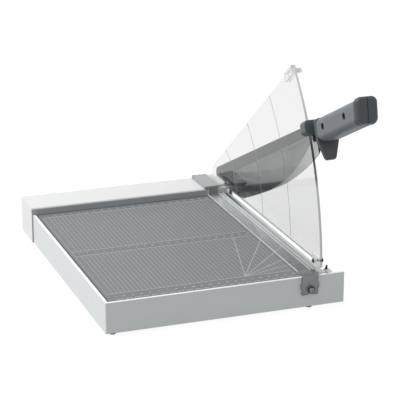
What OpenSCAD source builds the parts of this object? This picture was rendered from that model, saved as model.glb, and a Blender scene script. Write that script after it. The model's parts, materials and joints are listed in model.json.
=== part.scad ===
/* [Base] */
// Width of the front apron, left face to right end
base_w = 281.8; // [270:1:340]
// Depth of the table, front face of the apron to the back rail
base_d = 312.5; // [260:1:420]
// Height of the aprons above their bottom edge
apron_h = 36; // [32:1:46]
// Thickness of the bent sheet steel
sheet_t = 1.5; // [1:0.1:2.5]
// Depth of the folded rim along the top of the aprons
rim_w = 3.5; // [2.5:0.5:6]
// Width of the folded flange along the bottom of the aprons
flange_w = 12; // [10:1:20]
// Outer bend radius of the front left corner
corner_r = 1.5; // [1:0.5:8]
// Distance of the cutting line from the right end of the apron
knife_inset = 20.3; // [18:0.1:24]
// Height of a rubber foot below the aprons
foot_h = 3; // [2:0.5:8]
// Radius of a rubber foot
foot_r = 4; // [3:0.5:5]

/* [Table] */
// Thickness of the table plate
table_t = 1.5; // [1:0.1:2.5]
// How far the table lies below the rim
table_drop = 0.6; // [0.4:0.1:1.5]
// Dark gap between the rim and the table
table_gap = 1; // [0.5:0.1:2]
// Height of the channels under the table
rib_h = 14; // [8:1:20]
// Width of the channels under the table
rib_w = 24; // [16:1:40]
// Number of channels under the table
rib_count = 3; // [2:1:4]
// Width of the lower knife
knife_w = 9.2; // [8:0.2:12]
// Height of the lower knife
knife_h = 6; // [5:0.5:8]

/* [Back rail] */
// Depth of the back rail
rail_d = 50.5; // [46:0.5:70]
// Height of the back rail above the bottom edge of the aprons
rail_h = 44.4; // [42:0.2:50]
// Wall of the back rail
rail_wall = 2; // [1.5:0.1:3]
// Radius along the top edges of the back rail
rail_r = 1.5; // [1:0.5:4]
// How far the rail stands out past the left apron
rail_over = 1.3; // [0:0.1:3]
// Thickness of the dark paper fence on the rail
fence_t = 2; // [0.8:0.1:3]

/* [Arm] */
// Angle of the raised arm above level
arm_angle = 25.5; // [10:0.5:30]
// Distance of the arm's pivot behind the front of the rail
pivot_back = 27.1; // [22:0.1:32]
// Height of the arm's pivot above the bottom edge of the aprons
pivot_z = 28; // [24:0.5:30]
// Radius of the pivot bolt's shoulder
pivot_r = 5; // [3.5:0.5:6]
// Thickness of the blade
blade_t = 2.2; // [1.5:0.1:3]
// Depth of the blade's belly below the pivot
belly_v = 22.9; // [18:0.1:24]
// Radius of the front part of the cutting edge
belly_r = 556.6; // [480:10:700]
// Width of the ground bevel along the cutting edge
bevel_w = 3.5; // [2:0.5:5]
// Height of the blade's top edge above the pivot
blade_top = 18.2; // [16:0.2:20]
// Thickness of the arm bar
bar_t = 4; // [3:0.5:5]
// Height of the arm bar's top above the pivot, at the pivot
bar_top = 34.8; // [32:0.2:38]
// Fall of the arm bar's top edge per millimetre of length
bar_fall = 0.0107; // [0:0.001:0.012]

/* [Handle] */
// Width of the handle
handle_w = 25; // [22:0.5:32]
// Height of the handle
handle_h = 28; // [24:0.5:34]
// Length of the grip shells
grip_l = 108; // [90:1:140]
// Wall of the grip shells
grip_wall = 2.2; // [1.6:0.2:3]
// Length of the finger guard below the grip
tongue_l = 19.5; // [14:0.5:26]

/* [Guard and clamp] */
// Thickness of the clear guard
guard_t = 2.8; // [2:0.2:3.4]
// Slope of the guard's top edge
guard_slope = 36.8; // [34:0.2:38]
// Height of the guard's top edge above the pivot, at the pivot
guard_rise = 46; // [42:0.5:52]
// Gap for the paper under the guard
paper_gap = 10; // [8:0.5:12]
// Width of the clear clamp strip
strip_w = 20.5; // [16:0.5:22]
// Thickness of the clear clamp strip
strip_t = 2.2; // [1.6:0.2:3]
// Width of the smoked front bracket
clip_w = 19.6; // [16:0.2:24]

/* [Hidden] */
$fn = 48;
arc_fn = 720;
gap = 0.3;
fit = 0.05;
eps = 0.01;

// Levels and lines that many pieces share
table_z = apron_h - table_drop;
table_low = table_z - table_t;
pivot_y = base_d + pivot_back;
rail_back = base_d + rail_d;
reach = pivot_y;
cut_x = base_w - knife_inset;
knife_x = cut_x - knife_w;
channel_z = table_z - knife_h;
foot_inset = 5.5;
foot_side = 9.5;
block_l = 24;
strip_low = apron_h + gap;
clip_top = strip_low + strip_t + 1.2;
clamp_lift = 3.8;

// The lower knife stops behind the foot of the guard's front bracket
post_front = rim_w + 0.7;
post_back = post_front + 9.6;

// Across the arm, from the cutting line outward
blade_x = cut_x + gap;
bar_x = blade_x + blade_t;
bar_right = bar_x + bar_t;
plate_t = 3;
plate_x = cut_x - plate_t;
bush_wall = 2;
boss_r = 19.5;
tail_u = -18;
bar_low = 7;
tang_low = 13.5;
tang_u = reach - 30;
tang_top = 28.5;
blade_end = reach - 2.4;
belly_u = reach - 138;
edge_flat = 0.8;
rear_belly_r = 4 * belly_r;
grind_r = 321;
grind_u = belly_u - 23.6;
grind_depth = 0.25;
rivet_v = 10.7;
rivet_r = 2;
rivet_head_r = 3.8;
rivets = [reach - 279.6, reach - 202, reach - 124, reach - 46.9];

// Along the arm, counted from the pivot
collar_u = reach - 7.3;
collar_l = 13.2;
collar_x = blade_x - 15.8;
collar_w = 31;
collar_low = clip_top + clamp_lift + 0.5 - pivot_z;
collar_top = 32.5;
collar_r = 5;
flange_u = collar_u + collar_l + 11.5;
flange_t = 6;
grip_u = flange_u + flange_t;
handle_x = bar_x + 1;
handle_low = 3;
handle_top = handle_low + handle_h;
handle_r = 8;
butt_u = grip_u + grip_l;
butt_l = 9;
butt_lean = 7;
butt_swell = 1.2;
butt_r = 6;
side_r = 4;
screw_v = 18.6;
handle_screws_u = [grip_u + 17, butt_u - 31];
tang_end = butt_u - 18;
buffer_u = collar_u + 6.2;
buffer_r = 2.4;
buffer_x = blade_x - 2.8;
buffer_low = apron_h + gap - pivot_z;

// Guard, in a level frame about the pivot
guard_r = reach - 8.6;
guard_right = cut_x - 2.9;
guard_x = guard_right - guard_t;
guard_low = table_z + paper_gap - pivot_z;
guard_rear_r = 25;
groove_step = 0.2613;
guard_foot_low = rail_h - pivot_z;
apex_angle = guard_slope + asin(guard_rise * cos(guard_slope) / guard_r);
guard_rear_u = (guard_rear_r / cos(guard_slope) - guard_rise + guard_foot_low) / tan(guard_slope);
tab_l = 19.4;
tab_low = table_z + 5.6 - pivot_z;
foot_x = cut_x - 15.5;
foot_plate_t = 3;
clip_l = 26;
clip_wall = 1.6;
stub_r = 2.8;
guard_screws = [[10.6, 49.5], [22.6, 45.2]];

// Clamp
strip_x = knife_x - 0.9 - strip_w;
strip_back = base_d - fence_t - 0.5;
riser_t = 2.4;
plate_low = rail_h + gap;
clamp_plate_t = 2.2;
clamp_plate_w = 18.6;
clamp_plate_x = foot_x - 0.4 - clamp_plate_w;
hinge_r = 2.2;
hinge_y = rail_back - 4.5;
hinge_z = rail_h + gap + hinge_r;
pin_r = 1;
clip_x = strip_x - 1.6;
clip_front = -2.6;
clip_low = 14.9;
guide_x = clip_x + 10.7;
guide_z = 21.2;
guide_r = 2;
guide_head_r = 4.6;
guide_head_y = -3.6;

// The whole cutter's own box sets the origin in the middle of its underside
tip_u = butt_u + butt_l - butt_r - butt_lean;
tip_v = handle_low - 1.5 * butt_swell + butt_r;
butt_front = pivot_y - (tip_u * cos(arm_angle) - tip_v * sin(arm_angle)) - butt_r;
tail_r = 8;
tail_v = bar_top - tail_r;
tail_back = pivot_y - (tail_u + tail_r) * cos(arm_angle) + tail_v * sin(arm_angle) + tail_r;
mid_x = (base_w - rail_over) / 2;
mid_y = (butt_front + max(tail_back, rail_back)) / 2;

// Puts the drawing, made from the front left corner of the apron, on the origin
module placed() {
  translate([-mid_x, -mid_y, foot_h]) children();
}

// Frame of the raised arm: u runs forward along the arm, v up from the pivot
module on_arm() {
  placed() translate([0, pivot_y, pivot_z]) rotate([-arm_angle, 0, 0]) children();
}

// A flat piece drawn as (forward, up) and given its thickness along x
module side_plate(x, t) {
  translate([x + t, 0, 0]) rotate([90, 0, -90]) linear_extrude(t) children();
}

// A section drawn as (x, up) and run forward from u
module forward_run(u, l) {
  translate([0, -u, 0]) rotate([90, 0, 0]) linear_extrude(l) children();
}

// A cylinder along x
module rod_x(x, l, r) {
  translate([x, 0, 0]) rotate([0, 90, 0]) cylinder(r = r, h = l);
}

// Points of an arc about c, from angle a to angle b
function arc(c, r, a, b, n = 10) =
  [for (i = [0 : n]) c + r * [cos(a + (b - a) * i / n), sin(a + (b - a) * i / n)]];

// A rectangle with its own radius at each corner, from the lower left corner round
module round_box(size, r) {
  c = [[r, r], [size[0] - r, r], [size[0] - r, size[1] - r], [r, size[1] - r]];
  union() {
    translate([r, 0]) square([size[0] - 2 * r, size[1]]);
    translate([0, r]) square([size[0], size[1] - 2 * r]);
    for (p = c) translate(p) circle(r);
  }
}

// The L of the front and left aprons, w deep from their outer faces
module apron_plan(w) {
  r = max(corner_r - w, 0.5);
  back = base_d - fence_t - gap;
  difference() {
    union() {
      translate([corner_r, 0]) square([base_w - corner_r, back]);
      translate([0, corner_r]) square([base_w, back - corner_r]);
      translate([corner_r, corner_r]) circle(corner_r);
    }
    union() {
      translate([w + r, w]) square([base_w, base_d + 1]);
      translate([w, w + r]) square([base_w, base_d + 1]);
      translate([w + r, w + r]) circle(r);
    }
  }
}

module base_frame() placed() color([0.80, 0.82, 0.82]) difference() {
  union() {
    linear_extrude(apron_h) apron_plan(sheet_t);
    translate([0, 0, apron_h - sheet_t]) linear_extrude(sheet_t) apron_plan(rim_w);
    linear_extrude(sheet_t) apron_plan(flange_w);
    translate([base_w - sheet_t, 0, 0]) cube([sheet_t, rim_w, apron_h]);
  }
  // Notch in the rim for the blade's tip
  translate([blade_x - 0.8, sheet_t, apron_h - sheet_t - 1]) cube([blade_t + 2.6, rim_w, sheet_t + 2]);
  // Thread of the clamp's guide screw
  translate([guide_x, -1, guide_z]) rotate([-90, 0, 0]) cylinder(r = guide_r + fit, h = sheet_t + 2);
  for (p = front_feet()) translate([p[0], p[1], -1]) cylinder(r = foot_r / 2 + fit, h = sheet_t + 2);
}

function front_feet() = [for (x = [foot_side, knife_x - 11]) [x, foot_inset + 1.5]];

// The right one of the back feet stands clear of the pivot block
function back_feet() = [for (x = [foot_side, plate_x - block_l - 5]) [x, rail_back - foot_inset]];

module table_plate() placed() color([0.52, 0.55, 0.56])
  translate([rim_w + table_gap, rim_w + table_gap, table_low])
    cube([knife_x - rim_w - table_gap, base_d - rim_w - table_gap, table_t]);

// Channels spot welded under the table, between the left apron and the side channel
module table_channels() placed() color([0.62, 0.64, 0.64])
  for (i = [0 : rib_count - 1])
    translate([sheet_t, (i + 0.5) * base_d / rib_count - rib_w / 2, table_low - rib_h])
      difference() {
        cube([knife_x - sheet_t, rib_w, rib_h]);
        translate([-1, sheet_t, -1]) cube([knife_x + 2, rib_w - 2 * sheet_t, rib_h + 1 - sheet_t]);
      }

// Open channel under the lower knife; it closes the right side of the base
module side_channel() placed() color([0.80, 0.82, 0.82]) difference() {
  translate([knife_x, sheet_t, 0]) cube([knife_w - gap, base_d - sheet_t, channel_z]);
  translate([knife_x + sheet_t, 0, sheet_t]) cube([knife_w, base_d + 1, channel_z - 2 * sheet_t]);
  // The front flange of the apron runs on under the channel
  translate([knife_x - 1, 0, -1]) cube([knife_w + 2, flange_w, sheet_t + 1]);
  for (y = knife_screw_y()) translate([knife_x + 5, y, 0]) cylinder(r = 2 + fit, h = channel_z + 1);
}

function knife_screw_y() = [for (i = [0 : 4]) post_back + 12 + i * (base_d - post_back - 24) / 4];

// Hardened strip, relieved below its cutting edge
module lower_knife() placed() color([0.75, 0.77, 0.78]) difference() {
  translate([knife_x, post_back, channel_z]) cube([knife_w, base_d - post_back, knife_h]);
  translate([cut_x - 0.5, 0, channel_z - 1]) cube([1, base_d + 1, knife_h - 2]);
  for (y = knife_screw_y()) translate([knife_x + 5, y, channel_z - 1]) cylinder(r = 2 + fit, h = 5);
}

module knife_screws() placed() color([0.35, 0.36, 0.37])
  for (y = knife_screw_y()) translate([knife_x + 5, y, channel_z - sheet_t]) {
    cylinder(r = 2, h = sheet_t + 3.5);
    translate([0, 0, -3]) difference() {
      cylinder(r = 3.4, h = 3);
      translate([0, 0, -1]) cylinder(r = 1.5, h = 2.6, $fn = 6);
    }
  }

// End outline of the rail as (forward, up); forward is counted back from the rail's rear face
module rail_outline(inset) {
  r = max(rail_r - inset, 0.5);
  d = rail_d - 2 * inset;
  h = rail_h - inset;
  union() {
    translate([inset, 0]) square([d, h - r]);
    translate([inset + r, 0]) square([d - 2 * r, h]);
    translate([inset + r, h - r]) circle(r);
    translate([inset + d - r, h - r]) circle(r);
  }
}

module back_rail() placed() color([0.93, 0.93, 0.92]) difference() {
  translate([0, rail_back, 0]) side_plate(-rail_over, plate_x + rail_over) rail_outline(0);
  // Hollow, with a flange left along the bottom of both walls
  translate([0, rail_back, 0]) side_plate(rail_wall - rail_over, plate_x) intersection() {
    rail_outline(rail_wall);
    translate([0, rail_wall]) square([rail_d, rail_h]);
  }
  translate([rail_wall - rail_over, base_d + flange_w, -1])
    cube([plate_x + rail_over, rail_d - 2 * flange_w, rail_wall + 2]);
  for (p = back_feet()) translate([p[0], p[1], -1]) cylinder(r = foot_r / 2 + fit, h = rail_wall + 2);
  for (x = bracket_x()) translate([x, base_d - 1, bracket_screw_z]) rotate([-90, 0, 0])
    cylinder(r = 1.5 + fit, h = rail_wall + 2);
}

// Strip along the rail's front, with a leg that fills the joint behind the left apron
module paper_fence() placed() color([0.32, 0.34, 0.35]) translate([-rail_over, base_d - fence_t, 0]) {
  translate([0, 0, table_z + 0.2])
    cube([strip_x + strip_w - 7 + rail_over, fence_t, rail_h - table_z - 1.4]);
  cube([rail_over + sheet_t, fence_t, table_z + 1]);
}

function bracket_x() = [60, 200];
bracket_screw_z = 20;

// Angles that tie the table to the rail, with their screws
module rail_brackets() placed() color([0.62, 0.64, 0.64])
  for (x = bracket_x()) translate([x, base_d, 0]) {
    difference() {
      translate([-10, -22, 12]) cube([20, 22, table_low - 12]);
      translate([-11, -23, 11]) cube([22, 23 - sheet_t, table_low - 11 - sheet_t]);
      translate([0, -3, bracket_screw_z]) rotate([-90, 0, 0]) cylinder(r = 1.5 + fit, h = 4);
    }
    translate([0, -sheet_t, bracket_screw_z]) rotate([-90, 0, 0]) cylinder(r = 1.5, h = 8);
    translate([0, -sheet_t - 2, bracket_screw_z]) rotate([-90, 0, 0]) cylinder(r = 2.9, h = 2);
  }

// Push-in feet: a pad, a stem through the flange and a button above it
module rubber_feet() placed() color([0.12, 0.12, 0.12]) {
  for (p = front_feet()) translate([p[0], p[1], 0]) foot(sheet_t);
  for (p = back_feet()) translate([p[0], p[1], 0]) foot(rail_wall);
}

module foot(t) {
  rotate_extrude() polygon([[0, -foot_h], [foot_r - 0.6, -foot_h], [foot_r, -foot_h + 0.6], [foot_r, 0],
    [foot_r / 2, 0], [foot_r / 2, t], [foot_r / 2 + 0.9, t], [foot_r / 2, t + 1.4], [0, t + 1.4]]);
}

// Steel plate on the rail's right end, which carries the pivot
module pivot_plate() placed() color([0.80, 0.82, 0.82]) difference() {
  translate([0, rail_back, 0]) side_plate(plate_x, plate_t) rail_outline(0);
  translate([plate_x - 1, base_d - 1, -1]) cube([plate_t + 2, rail_d + 2, 2]);
  translate([0, pivot_y, pivot_z]) rod_x(plate_x - 1, plate_t + 2, pivot_r - 1 + fit);
  for (y = plate_screw_y()) translate([0, y, pivot_z - 16]) {
    rod_x(plate_x - 1, plate_t + 2, 1.5 + fit);
    translate([cut_x - 1.5, 0, 0]) rotate([0, 90, 0]) cylinder(r1 = 1.5 + fit, r2 = 3 + fit, h = 1.5 + eps);
  }
}

function plate_screw_y() = [pivot_y - 9, pivot_y + 9];

// Die-cast block inside the rail, behind the pivot plate
module pivot_block() placed() color([0.60, 0.61, 0.62]) difference() {
  translate([plate_x - block_l, pivot_y - 14.5, rail_wall]) cube([block_l, 29, rail_h - 2 * rail_wall]);
  translate([0, pivot_y, pivot_z]) rod_x(plate_x - block_l - 1, block_l + 2, pivot_r - 1 + fit);
  for (y = plate_screw_y()) translate([0, y, pivot_z - 16]) rod_x(plate_x - 9, 10, 1.5 + fit);
}

module plate_screws() placed() color([0.45, 0.46, 0.47])
  for (y = plate_screw_y()) translate([0, y, pivot_z - 16]) difference() {
    union() {
      rod_x(plate_x - 8, 8 + plate_t, 1.5);
      translate([cut_x - 1.5, 0, 0]) rotate([0, 90, 0]) cylinder(r1 = 1.5, r2 = 3, h = 1.5);
    }
    rod_x(cut_x - 0.8, 1, 1);
  }

washer_t = 1;
bolt_head_t = 5;
head_x = bar_right + gap + washer_t;

// Shoulder bolt: the shoulder carries the arm, the thread goes back through the block
module pivot_bolt() placed() color([0.55, 0.56, 0.58]) translate([0, pivot_y, pivot_z]) {
  rod_x(plate_x - block_l - 8, block_l + 8 + plate_t, pivot_r - 1);
  rod_x(cut_x, head_x - cut_x, pivot_r);
  difference() {
    rod_x(head_x, bolt_head_t, pivot_r + 4);
    rod_x(head_x + bolt_head_t - 2.6, 3, 3.2);
    translate([head_x + bolt_head_t, 0, 0]) rotate([0, 90, 0])
      rotate_extrude() polygon([[pivot_r + 3, 0.1], [pivot_r + 4.1, 0.1], [pivot_r + 4.1, -1]]);
  }
}

module pivot_nut() placed() color([0.55, 0.56, 0.58]) translate([0, pivot_y, pivot_z])
  difference() {
    union() {
      rod_x(plate_x - block_l - 1, 1, pivot_r + 4);
      translate([plate_x - block_l - 7, 0, 0]) rotate([0, 90, 0]) cylinder(r = 7.5, h = 6, $fn = 6);
    }
    rod_x(plate_x - block_l - 8, 9, pivot_r - 1 + fit);
  }

// Dished washer that presses on the arm, so that it stays where it is raised
module friction_washer() placed() color([0.70, 0.71, 0.72]) translate([bar_right + gap, pivot_y, pivot_z])
  rotate([0, 90, 0]) rotate_extrude()
    polygon([[pivot_r + fit, washer_t - 0.6], [pivot_r + 5.5, 0], [pivot_r + 5.5, 0.6], [pivot_r + fit, washer_t]]);

// Guard in a level frame about the pivot: forward and up
module guard_outline() {
  far = guard_r + 50;
  edge = guard_rise + far * tan(guard_slope);
  side = [guard_rear_u - guard_rear_r * sin(guard_slope), guard_foot_low + guard_rear_r * cos(guard_slope)];
  difference() {
    union() {
      intersection() {
        circle(guard_r, $fn = arc_fn);
        polygon([[guard_rear_u, guard_foot_low], [far, guard_foot_low], [far, edge], side]);
      }
      intersection() {
        translate([guard_rear_u, guard_foot_low]) circle(guard_rear_r, $fn = 96);
        translate([guard_rear_u - 2 * guard_rear_r, guard_foot_low]) square([4 * guard_rear_r, 2 * guard_rear_r]);
      }
      intersection() {
        circle(guard_r, $fn = arc_fn);
        translate([guard_r - tab_l, tab_low]) square([tab_l + 1, 20]);
      }
    }
    // Forward of the rail the guard stands a paper gap above the table
    translate([reach - base_d - 1.5, guard_foot_low - 5]) square([guard_r - tab_l - reach + base_d + 1.5,
      guard_low - guard_foot_low + 5]);
  }
}

module guard() placed() color([0.90, 0.93, 0.94, 0.35]) difference() {
  union() {
    translate([0, pivot_y, pivot_z]) side_plate(guard_x, guard_t) guard_outline();
    // Foot along the top of the rail, rounded into the sheet
    translate([foot_x, base_d + 2, rail_h]) cube([guard_x - foot_x + 1, rail_d - 4.5, foot_plate_t]);
    translate([guard_x - 4, base_d + 2, rail_h + foot_plate_t]) difference() {
      cube([4.5, rail_d - 12, 4]);
      translate([0, -1, 4]) rotate([-90, 0, 0]) cylinder(r = 4, h = rail_d);
    }
  }
  // Moulded lines, concentric with the pivot
  for (i = [1 : 3]) translate([guard_x - 0.1, pivot_y, pivot_z]) intersection() {
    r = guard_r * (1 - i * groove_step);
    rotate([0, 90, 0]) difference() {
      cylinder(r = r + 0.6, h = 0.5, $fn = 360);
      translate([0, 0, -1]) cylinder(r = r - 0.6, h = 3, $fn = 360);
    }
    translate([-1, -guard_r, guard_foot_low + 4]) cube([3, guard_r + 20, guard_r]);
  }
  for (s = guard_screws) translate([0, s[0], s[1]]) rod_x(guard_x - 1, guard_t + 2, 1.5 + fit);
}

// Foot and arm that hold the guard's front corner above the paper
module guard_front_bracket() placed() color([0.88, 0.90, 0.91]) difference() {
  union() {
    translate([knife_x + 0.9, post_front, channel_z])
      cube([knife_w - 1.2, post_back - post_front, apron_h + 1 - channel_z]);
    translate([guard_x - 2.4, 8.8, channel_z]) cube([2.4, post_back - 8.8, 53 - channel_z]);
    bracket_arm();
  }
  for (s = guard_screws) translate([0, s[0], s[1]]) rod_x(guard_x - 4, 6, 1.5 + fit);
}

module bracket_arm() {
  translate([guard_x - 2.4, 8.8, table_z + 5.6]) cube([2.4, tab_l - 0.2, 53 - table_z - 5.6]);
}

// The front screw is driven from the blade's side, the other from the table's
module guard_screws() placed() color([0.10, 0.10, 0.10]) for (i = [0, 1]) {
  s = guard_screws[i];
  translate([0, s[0], s[1]]) {
    rod_x(guard_x - 2.4, 2.4 + guard_t, 1.5);
    translate([i == 0 ? guard_right : guard_x - 2.4, 0, 0]) rotate([0, i == 0 ? 90 : -90, 0])
      rotate_extrude() polygon([[0, 0], [2.6, 0], [2.4, 0.8], [1.6, 1.3], [0, 1.5]]);
  }
}

// Saddle over the guard's top corner, with the stub that stops the arm
module stop_clip() placed() color([0.80, 0.83, 0.84])
  translate([0, pivot_y - guard_r * cos(apex_angle), pivot_z + guard_r * sin(apex_angle)])
    rotate([-guard_slope, 0, 0]) difference() {
      union() {
        translate([guard_x - clip_wall, 1, -9]) cube([guard_t + 2 * clip_wall, clip_l, 9 + clip_wall]);
        translate([0, 4.5, -4.5]) rod_x(guard_right, bar_right - guard_right - 1, stub_r);
      }
      translate([guard_x, -1, -10]) cube([guard_t, clip_l + 3, 10]);
    }

// Moulded block beside the blade's tip; it keeps the blade against the knife
guide_left = bar_x + 0.4;
guide_w = 6.3;
guide_top = apron_h - 0.3;
module blade_guide() placed() color([0.78, 0.78, 0.77]) difference() {
  union() {
    translate([guide_left, sheet_t, sheet_t]) cube([guide_w, flange_w - sheet_t, apron_h - 2 * sheet_t]);
    translate([0, 19, 0]) forward_run(0, 15) intersection() {
      translate([guide_left, guide_top - 12]) square([guide_w, 20]);
      translate([guide_left + guide_w / 2, guide_top - 12]) circle(12);
    }
  }
  nub_form(fit);
}

// Leaning nub, pressed into the top of the block
module nub_form(extra) {
  translate([guide_left + 2, 16.2, guide_top - 1.2]) rotate([0, 8, 0])
    cylinder(r1 = 1.7 + extra, r2 = 0.9 + extra, h = 6.2);
}

module guide_nub() placed() color([0.08, 0.08, 0.08]) nub_form(0);

// Washer-head screw that guides the slot of the front bracket
module clamp_guide_screw() placed() color([0.10, 0.10, 0.10])
  translate([guide_x, guide_head_y, guide_z]) rotate([-90, 0, 0]) {
    cylinder(r = guide_r, h = sheet_t - guide_head_y + 2);
    difference() {
      rotate([180, 0, 0]) rotate_extrude()
        polygon([[0, 0], [guide_head_r, 0], [guide_head_r, 1], [3.2, 1.3], [2.9, 2.6], [2, 3.1], [0, 3.2]]);
      translate([0, 0, -4]) cylinder(r = 1.3, h = 2, $fn = 6);
    }
  }

module hinge_lugs() placed() color([0.30, 0.31, 0.32])
  for (x = [clamp_plate_x, clamp_plate_x + clamp_plate_w - 3.5]) difference() {
    union() {
      translate([x, hinge_y - hinge_r, rail_h]) cube([3.5, 2 * hinge_r, hinge_z - rail_h]);
      translate([0, hinge_y, hinge_z]) rod_x(x, 3.5, hinge_r);
    }
    translate([0, hinge_y, hinge_z]) rod_x(x - 1, 6, pin_r + fit);
  }

module clamp_pin() placed() color([0.60, 0.61, 0.62])
  translate([0, hinge_y, hinge_z]) rod_x(clamp_plate_x + 0.3, clamp_plate_w - 0.6, pin_r);

// Blade in the arm's frame: forward and up, edge at the bottom
module belly(r_off) {
  intersection() {
    translate([belly_u, belly_r - belly_v]) circle(belly_r - r_off, $fn = arc_fn);
    translate([belly_u, -60]) square([blade_end - belly_u, 60 + blade_top]);
  }
  intersection() {
    translate([belly_u, rear_belly_r - belly_v]) circle(rear_belly_r - r_off, $fn = 4 * arc_fn);
    translate([26, -60]) square([belly_u - 26, 60 + blade_top]);
  }
}

module blade_outline(r_off) {
  difference() {
    union() {
      belly(r_off);
      circle(boss_r);
      translate([tail_u, -4]) square([60, blade_top + 4]);
    }
    // Corner cut away under the collar
    translate([collar_u - 1.3, collar_low - 0.3]) square([20, 20]);
  }
}

module blade() on_arm() color([0.62, 0.64, 0.65]) difference() {
  union() {
    side_plate(blade_x, edge_flat) blade_outline(0);
    bevelled_belly();
    side_plate(blade_x + edge_flat, blade_t - edge_flat) blade_outline(bevel_w);
  }
  // Ground band on the cutting face
  side_plate(blade_x - 1, 1 + grind_depth) difference() {
    translate([grind_u, -60]) square([blade_end, 60 + blade_top - 1]);
    translate([grind_u, grind_r - belly_v + 1.3]) circle(grind_r, $fn = arc_fn);
  }
  rod_x(blade_x - 1, blade_t + 2, pivot_r + bush_wall + fit);
  for (u = rivets) translate([0, -u, rivet_v]) {
    rod_x(blade_x - 1, blade_t + 2, rivet_r + fit);
    translate([blade_x - eps, 0, 0]) rotate([0, 90, 0])
      cylinder(r1 = rivet_head_r + fit, r2 = rivet_r + fit, h = 1.5);
  }
}

// The bevel narrows the belly toward the blade's outer face
module bevelled_belly() intersection() {
  side_plate(blade_x + edge_flat - eps, blade_t - edge_flat + eps) blade_outline(0);
  union() {
    intersection() {
      translate([blade_x + edge_flat - eps, -belly_u, belly_r - belly_v]) rotate([0, 90, 0])
        cylinder(r1 = belly_r, r2 = belly_r - bevel_w, h = blade_t - edge_flat + eps, $fn = arc_fn);
      translate([blade_x, -blade_end, -60]) cube([blade_t, blade_end - belly_u, 60 + blade_top]);
    }
    intersection() {
      translate([blade_x + edge_flat - eps, -belly_u, rear_belly_r - belly_v]) rotate([0, 90, 0])
        cylinder(r1 = rear_belly_r, r2 = rear_belly_r - bevel_w, h = blade_t - edge_flat + eps,
                 $fn = 4 * arc_fn);
      translate([blade_x, -belly_u, -60]) cube([blade_t, belly_u - 26, 60 + blade_top]);
    }
  }
}

// Flat bar that carries the blade and runs on into the handle
module arm_bar() on_arm() color([0.50, 0.52, 0.53]) difference() {
  side_plate(bar_x, bar_t) polygon(concat(
    arc([tail_u + tail_r, tail_v], tail_r, 180, 90),
    [[collar_u - 1, bar_top - bar_fall * collar_u], [collar_u - 1, tang_top], [tang_end, tang_top],
      [tang_end, tang_low], [tang_u, tang_low], [tang_u - 8, bar_low]],
    arc([0, 0], boss_r, asin(bar_low / boss_r), -acos(tail_u / boss_r), 36)));
  rod_x(bar_x - 1, bar_t + 2, pivot_r + bush_wall + fit);
  for (u = rivets) translate([0, -u, rivet_v]) rod_x(bar_x - 1, bar_t + 2, rivet_r + fit);
  for (u = handle_screws_u) translate([0, -u, screw_v]) rod_x(bar_x - 1, bar_t + 2, 2.2);
}

module blade_rivets() on_arm() color([0.45, 0.46, 0.47])
  for (u = rivets) translate([0, -u, rivet_v]) {
    rod_x(blade_x, bar_right - blade_x, rivet_r);
    translate([blade_x + grind_depth, 0, 0]) rotate([0, 90, 0])
      cylinder(r1 = rivet_head_r - 0.4, r2 = rivet_r, h = 1.2);
    translate([bar_right, 0, 0]) rotate([0, 90, 0]) rotate_extrude()
      polygon([[0, 0], [rivet_head_r, 0], [3.4, 1], [2.2, 1.8], [0, 2.1]]);
  }

module pivot_bush() on_arm() color([0.72, 0.58, 0.34]) difference() {
  rod_x(blade_x, bar_right - blade_x, pivot_r + bush_wall);
  rod_x(blade_x - 1, bar_right - blade_x + 2, pivot_r + fit);
}

// Block at the front end of the blade; it presses the clamp as the arm comes down
module arm_collar() on_arm() color([0.28, 0.30, 0.31]) difference() {
  forward_run(collar_u, collar_l) translate([collar_x, collar_low])
    round_box([collar_w, collar_top - collar_low], collar_r);
  translate([bar_x, -collar_u - collar_l - 1, collar_low - 1])
    cube([bar_t, collar_l + 2, tang_top - collar_low + 1]);
}

module arm_buffer() on_arm() color([0.06, 0.06, 0.06])
  translate([buffer_x, -buffer_u, buffer_low]) rotate_extrude()
    polygon([[0, 0], [buffer_r - 0.8, 0], [buffer_r, 0.8], [buffer_r, 4], [1.4, 5.2], [1.4, 6],
      [buffer_r, 6.6], [buffer_r, collar_low - buffer_low], [0, collar_low - buffer_low]]);

// Plate across the rear of the grip that runs down into a tapered tongue
module finger_outline() {
  w = handle_w / 2;
  low = handle_low - tongue_l;
  union() {
    translate([handle_x - w, handle_low + 6]) round_box([2 * w, handle_h - 6], 5);
    translate([handle_x, 0]) polygon([[-w, handle_low + 12], [-w, handle_low + 2], [2 - w / 2 - 2, low + 2],
      [2 - w / 2, low], [w / 2 - 2, low], [w / 2, low + 2], [w, handle_low + 2], [w, handle_low + 12]]);
  }
}

module finger_guard() on_arm() color([0.22, 0.24, 0.25]) difference() {
  union() {
    forward_run(flange_u, flange_t) finger_outline();
    forward_run(collar_u + collar_l, flange_u - collar_u - collar_l) translate([bar_x - 4, tang_low + 1.5])
      round_box([bar_t + 8, 16], 2);
  }
  translate([bar_x, -grip_u - 1, tang_low]) cube([bar_t, grip_u, tang_top - tang_low]);
}

// Outline of the grip in three views; the form is what all three share
module grip_form(inset) {
  w = handle_w - 2 * inset;
  h = handle_h - 2 * inset;
  r = handle_r - inset;
  intersection() {
    forward_run(grip_u + inset, grip_l - 2 * inset) translate([handle_x - w / 2, handle_low + inset])
      round_box([w, h], r);
    side_plate(handle_x - w / 2 - 1, w + 2) difference() {
      translate([grip_u - 1, handle_low - 1]) square([grip_l + 2, handle_h + 2]);
      // Lower rear corner drawn round into the finger guard
      difference() {
        translate([grip_u - 2, handle_low - 2]) square([14 + inset, 14 + inset]);
        translate([grip_u + 12 + inset, handle_low + 12 + inset]) circle(12);
      }
    }
  }
}

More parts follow.
